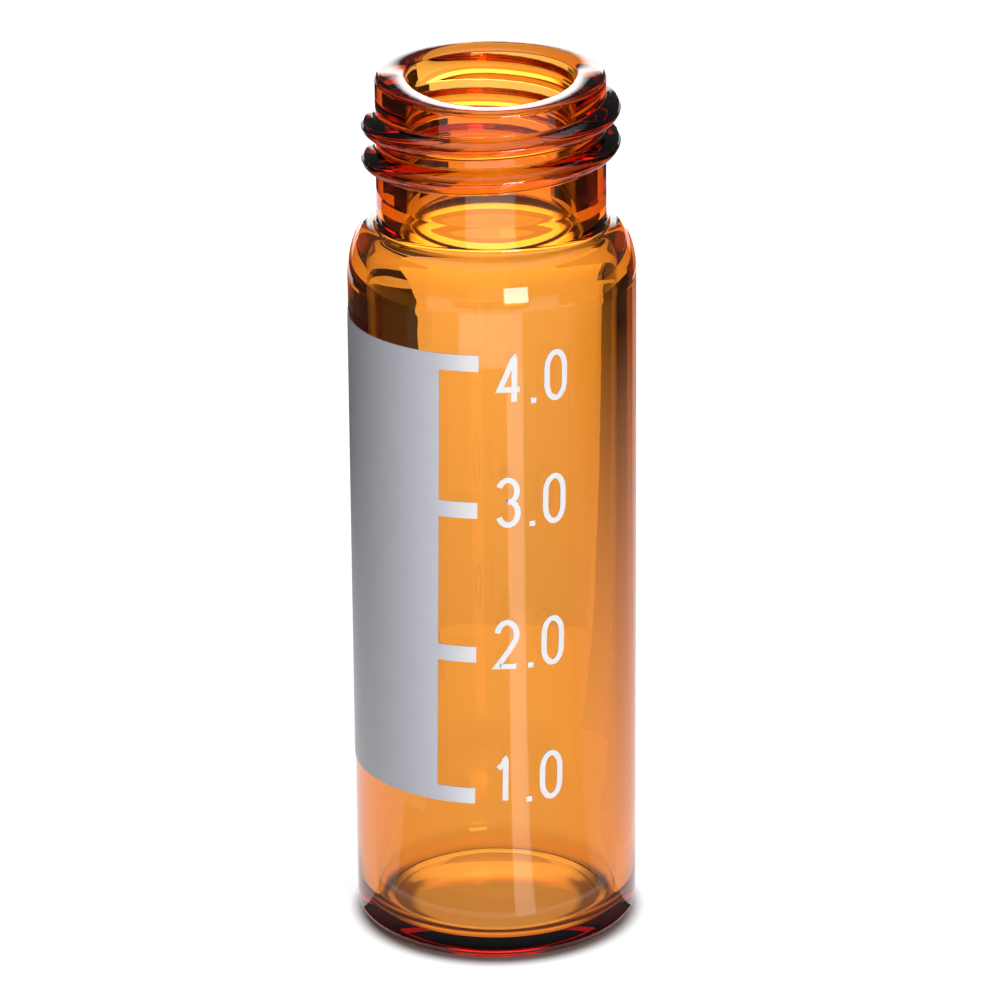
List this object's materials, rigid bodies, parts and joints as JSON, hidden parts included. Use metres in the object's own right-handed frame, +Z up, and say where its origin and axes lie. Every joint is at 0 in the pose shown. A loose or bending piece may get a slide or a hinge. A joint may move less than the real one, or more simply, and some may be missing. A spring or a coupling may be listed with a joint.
{
  "type": "glass sample vial",
  "caption": "Open amber glass sample vial with a flat base, a short screw neck and a pale printed writing field with graduations.",
  "frame": {"origin": "middle of the base, on the surface the vial stands on", "axes": "+Z up along the vial's axis, out of the mouth; the numerals face -Y; +X is to the right of a reader"},
  "size_m": [0.0148, 0.0148, 0.046],
  "materials": {
    "amber_glass": "clear amber, fire polished",
    "enamel_print": "pale grey ceramic enamel, satin"
  },
  "bodies": {
    "root": {"glass_vial": "amber_glass", "printed_scale": "enamel_print"}
  },
  "joints": []
}
